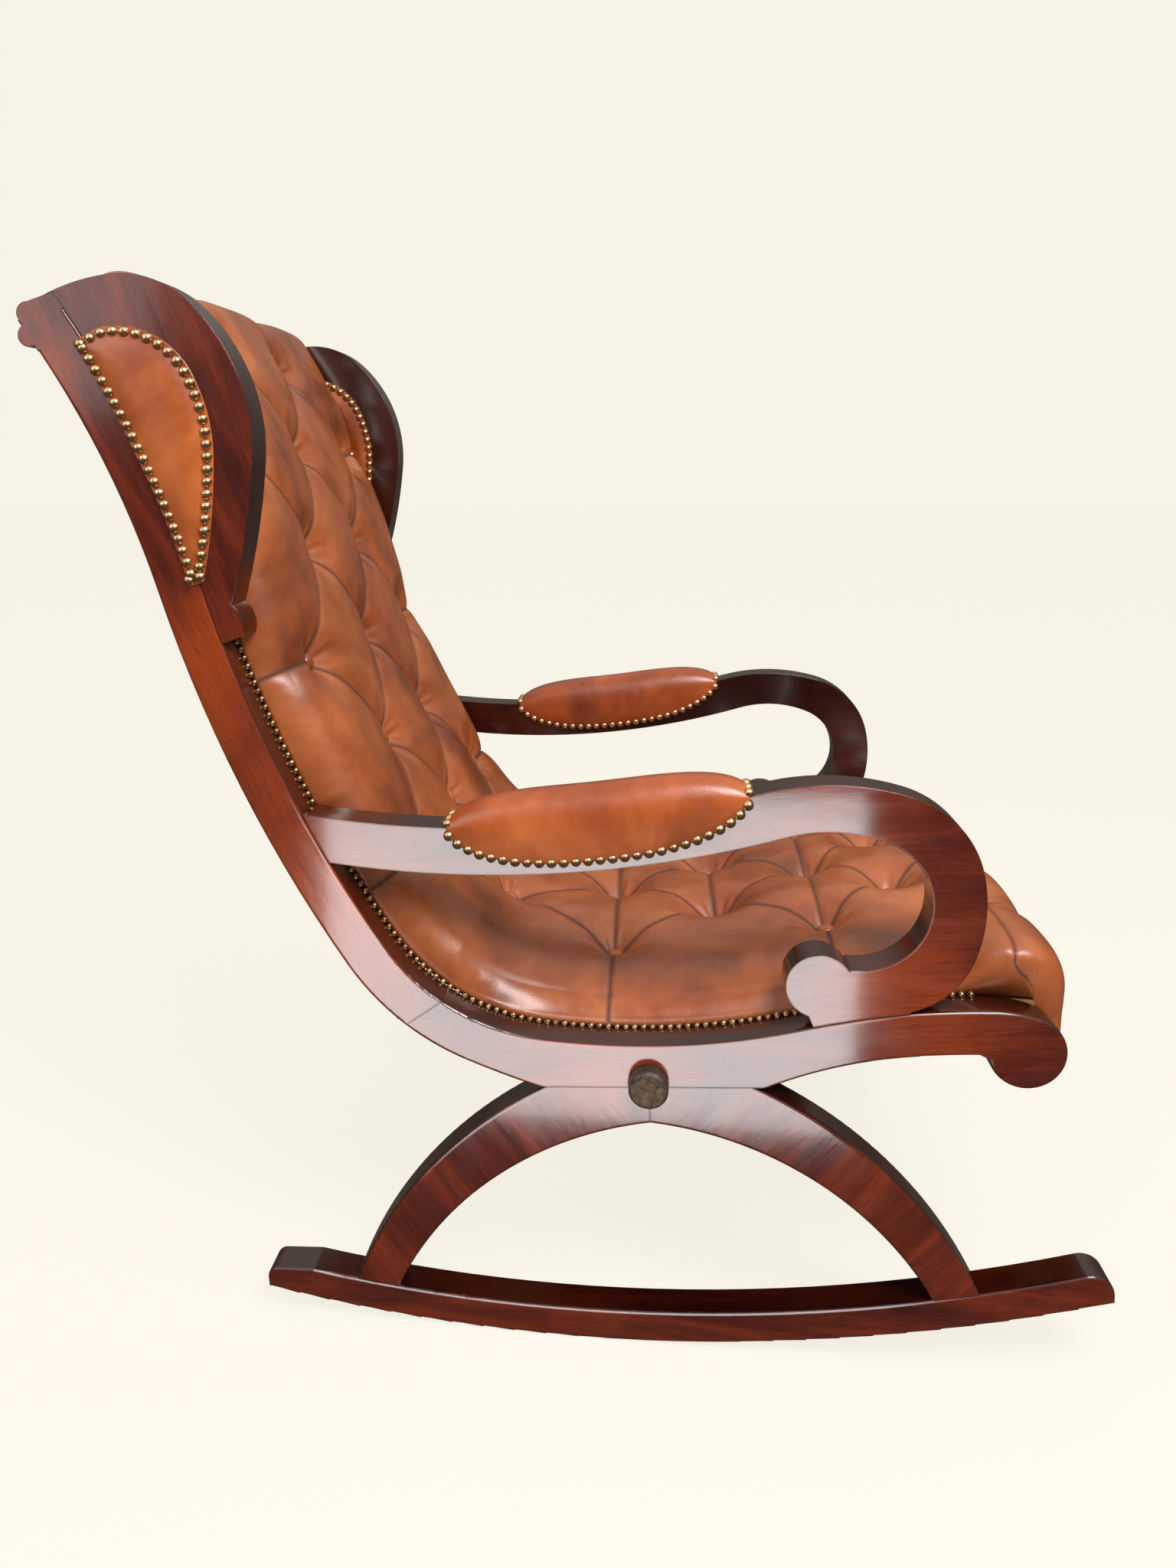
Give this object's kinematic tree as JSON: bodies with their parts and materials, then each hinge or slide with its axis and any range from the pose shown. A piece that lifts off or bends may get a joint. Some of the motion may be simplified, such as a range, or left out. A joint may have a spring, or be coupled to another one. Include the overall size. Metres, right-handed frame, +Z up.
{
  "type": "wing-back rocking chair",
  "caption": "Wing-back library rocking chair with flat sawn mahogany side frames, rolled scroll arms, half-arch supports on sledge rockers and deep-buttoned tan leather.",
  "frame": {"origin": "on the floor plane, at the centre of the footprint of the chair as it stands", "axes": "+Z up, +X to the chair's front, +Y to the sitter's left"},
  "size_m": [1.0033, 0.65, 1.0231],
  "materials": {
    "mahogany": "gloss",
    "rod_wood": "satin",
    "dowel_wood": "satin",
    "inner_wood": "matte",
    "leather": "satin",
    "webbing": "matte",
    "stuffing": "matte",
    "lining": "matte"
  },
  "bodies": {
    "root": {"arch_dowels": "dowel_wood", "arm_dowels": "dowel_wood", "arm_pad_L": "leather", "arm_pad_R": "leather", "back_batten_L": "inner_wood", "back_batten_R": "inner_wood", "back_lower_rail": "inner_wood", "back_stile_L": "mahogany", "back_stile_R": "mahogany", "back_stuffing": "stuffing", "back_webbing": "webbing", "crest_rail": "mahogany", "cross_rod": "rod_wood", "dust_cover": "lining", "foot_dowels": "dowel_wood", "front_half_arch_L": "mahogany", "front_half_arch_R": "mahogany", "leather_cover": "leather", "outside_back_panel": "leather", "rear_half_arch_L": "mahogany", "rear_half_arch_R": "mahogany", "rocker_L": "mahogany", "rocker_R": "mahogany", "scroll_arm_L": "mahogany", "scroll_arm_R": "mahogany", "seat_batten_L": "inner_wood", "seat_batten_R": "inner_wood", "seat_front_rail": "inner_wood", "seat_rear_rail": "inner_wood", "seat_side_rail_L": "mahogany", "seat_side_rail_R": "mahogany", "seat_stuffing": "stuffing", "seat_webbing": "webbing", "stile_dowels": "dowel_wood", "wing_dowels": "dowel_wood", "wing_frame_L": "mahogany", "wing_frame_R": "mahogany", "wing_panel_inner_L": "leather", "wing_panel_inner_R": "leather", "wing_panel_outer_L": "leather", "wing_panel_outer_R": "leather", "wing_stuffing_L": "stuffing", "wing_stuffing_R": "stuffing"}
  },
  "joints": []
}
